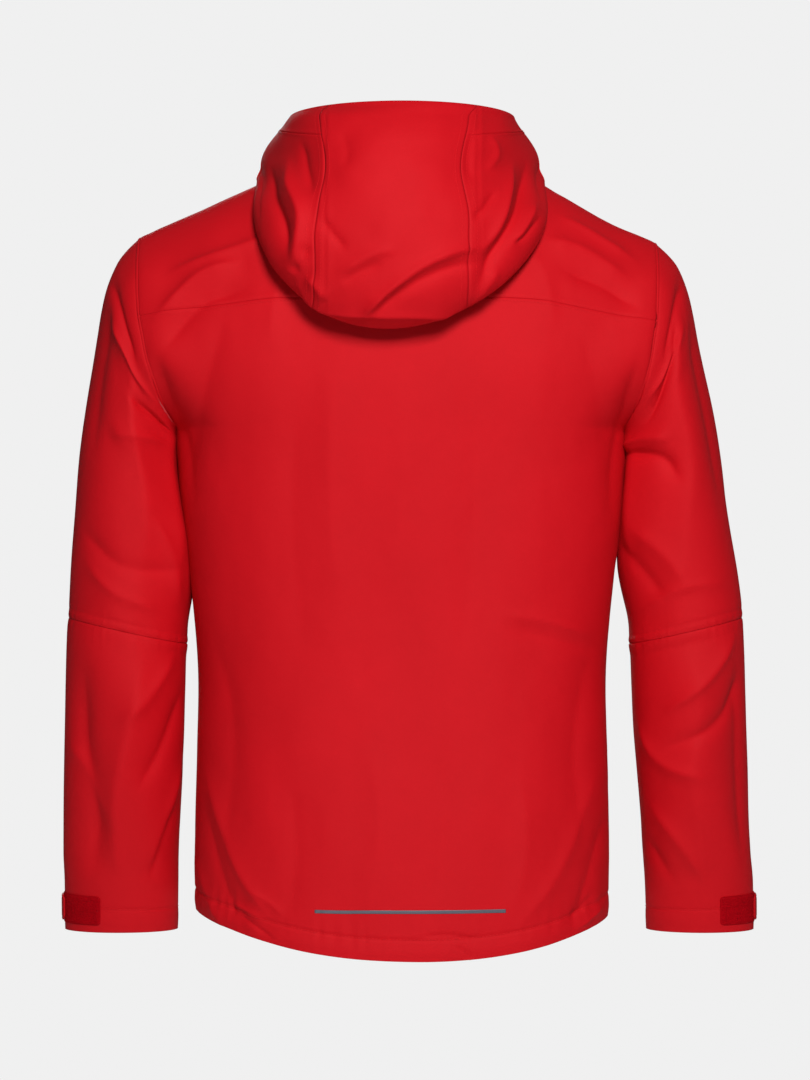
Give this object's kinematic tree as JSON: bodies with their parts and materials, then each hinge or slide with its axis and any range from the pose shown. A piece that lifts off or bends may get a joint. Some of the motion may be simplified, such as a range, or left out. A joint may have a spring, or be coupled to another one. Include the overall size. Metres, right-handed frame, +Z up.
{
  "type": "hardshell jacket",
  "caption": "Hooded waterproof jacket standing as if worn, with the hood down, long sleeves, adjustable cuffs, zipped pockets and a drawcord hem.",
  "frame": {"origin": "centre of the base of the wearer's neck, between the two neck points of the shoulder line", "axes": "+Z up along the wearer, -Y towards the wearer's front, +X towards the wearer's left"},
  "size_m": [0.6868, 0.355, 0.8283],
  "materials": {
    "shell_red": "woven polyester face, laminated, slight sheen",
    "shell_dark": "woven polyester face, slight sheen",
    "hook_loop": "brushed loop pile",
    "backer": "knitted backer",
    "zip_tape": "coated zip tape",
    "zip_coil": "moulded coil",
    "reflective": "retroreflective film",
    "cord": "braided elastic and webbing",
    "plastic": "moulded plastic",
    "slider_metal": "plated zinc"
  },
  "bodies": {
    "shell": {"back_yoke": "shell_red", "back_panel": "shell_red", "hood_neck_panel": "shell_dark", "storm_flap": "shell_dark", "chin_guard": "shell_dark", "hem_facing_back": "shell_dark", "reflective_stripe": "reflective", "hanger_loop": "cord", "hem_drawcord": "cord", "zip_box": "plastic", "front_panel_left": "shell_red", "collar_left": "shell_red", "hem_facing_front_left": "shell_dark", "pocket_bag_left": "backer", "zip_tape_left": "zip_tape", "pocket_zip_left": "zip_tape", "zip_chain_left": "zip_coil", "cord_lock_left": "plastic", "front_panel_right": "shell_red", "collar_right": "shell_red", "hem_facing_front_right": "shell_dark", "pocket_bag_right": "backer", "zip_tape_right": "zip_tape", "pocket_zip_right": "zip_tape", "zip_chain_right": "zip_coil", "cord_lock_right": "plastic"},
    "hood": {"hood_centre_panel": "shell_red", "hood_side_left": "shell_red", "hood_side_right": "shell_red", "hood_brim_left": "shell_red", "hood_brim_right": "shell_red"},
    "main_slider": {"main_slider": "slider_metal"},
    "main_puller": {"main_puller": "plastic"},
    "sleeve_upper_left": {"sleeve_upper_left": "shell_red"},
    "sleeve_lower_left": {"sleeve_lower_left": "shell_red", "cuff_hem_left": "shell_red", "cuff_loop_patch_left": "hook_loop"},
    "cuff_tab_left": {"cuff_tab_left": "shell_dark"},
    "pocket_slider_left": {"pocket_slider_left": "slider_metal"},
    "pocket_puller_left": {"pocket_puller_left": "plastic"},
    "cord_plunger_left": {"cord_plunger_left": "plastic"},
    "sleeve_upper_right": {"sleeve_upper_right": "shell_red"},
    "sleeve_lower_right": {"sleeve_lower_right": "shell_red", "cuff_hem_right": "shell_red", "cuff_loop_patch_right": "hook_loop"},
    "cuff_tab_right": {"cuff_tab_right": "shell_dark"},
    "pocket_slider_right": {"pocket_slider_right": "slider_metal"},
    "pocket_puller_right": {"pocket_puller_right": "plastic"},
    "cord_plunger_right": {"cord_plunger_right": "plastic"}
  },
  "joints": [
    {"name": "main_zip_slide", "type": "slide", "parent": "shell", "child": "main_slider", "axis": [0, 0.059, 0.9983], "range_m": [-0.7, 0]},
    {"name": "main_puller_hinge", "type": "hinge", "parent": "main_slider", "child": "main_puller", "pos_m": [0, -0.10674, 0.04059], "axis": [-1, 0, 0], "range_deg": [0, 140]},
    {"name": "hood_raise", "type": "hinge", "parent": "shell", "child": "hood", "pos_m": [0, 0, 0.031], "axis": [1, 0, 0], "range_deg": [0, 95]},
    {"name": "shoulder_left", "type": "hinge", "parent": "shell", "child": "sleeve_upper_left", "pos_m": [0.263, 0, -0.0485], "axis": [0, -1, 0], "range_deg": [0, 60]},
    {"name": "elbow_left", "type": "hinge", "parent": "sleeve_upper_left", "child": "sleeve_lower_left", "pos_m": [0.274, -0.0635, -0.4398], "axis": [-1, 0, 0], "range_deg": [0, 75]},
    {"name": "cuff_tab_hinge_left", "type": "hinge", "parent": "sleeve_lower_left", "child": "cuff_tab_left", "pos_m": [0.31548, -0.07312, -0.70605], "axis": [-0.0127, 0.1487, 0.9888], "range_deg": [0, 120]},
    {"name": "pocket_zip_slide_left", "type": "slide", "parent": "shell", "child": "pocket_slider_left", "axis": [0, 0.0482, 0.9988], "range_m": [-0.13, 0]},
    {"name": "pocket_puller_hinge_left", "type": "hinge", "parent": "pocket_slider_left", "child": "pocket_puller_left", "pos_m": [0.12519, -0.11607, -0.43666], "axis": [-0.9209, -0.3894, 0.0188], "range_deg": [0, 140]},
    {"name": "cord_lock_press_left", "type": "slide", "parent": "shell", "child": "cord_plunger_left", "axis": [0, 0, -1], "range_m": [0, 0.0025], "stiffness_N_per_m": 300},
    {"name": "shoulder_right", "type": "hinge", "parent": "shell", "child": "sleeve_upper_right", "pos_m": [-0.263, 0, -0.0485], "axis": [0, 1, 0], "range_deg": [0, 60]},
    {"name": "elbow_right", "type": "hinge", "parent": "sleeve_upper_right", "child": "sleeve_lower_right", "pos_m": [-0.274, -0.0635, -0.4398], "axis": [-1, 0, 0], "range_deg": [0, 75]},
    {"name": "cuff_tab_hinge_right", "type": "hinge", "parent": "sleeve_lower_right", "child": "cuff_tab_right", "pos_m": [-0.31548, -0.07312, -0.70605], "axis": [-0.0127, -0.1487, -0.9888], "range_deg": [0, 120]},
    {"name": "pocket_zip_slide_right", "type": "slide", "parent": "shell", "child": "pocket_slider_right", "axis": [0, 0.0482, 0.9988], "range_m": [-0.13, 0]},
    {"name": "pocket_puller_hinge_right", "type": "hinge", "parent": "pocket_slider_right", "child": "pocket_puller_right", "pos_m": [-0.12519, -0.11607, -0.43666], "axis": [-0.9209, 0.3894, -0.0188], "range_deg": [0, 140]},
    {"name": "cord_lock_press_right", "type": "slide", "parent": "shell", "child": "cord_plunger_right", "axis": [0, 0, -1], "range_m": [0, 0.0025], "stiffness_N_per_m": 300}
  ]
}
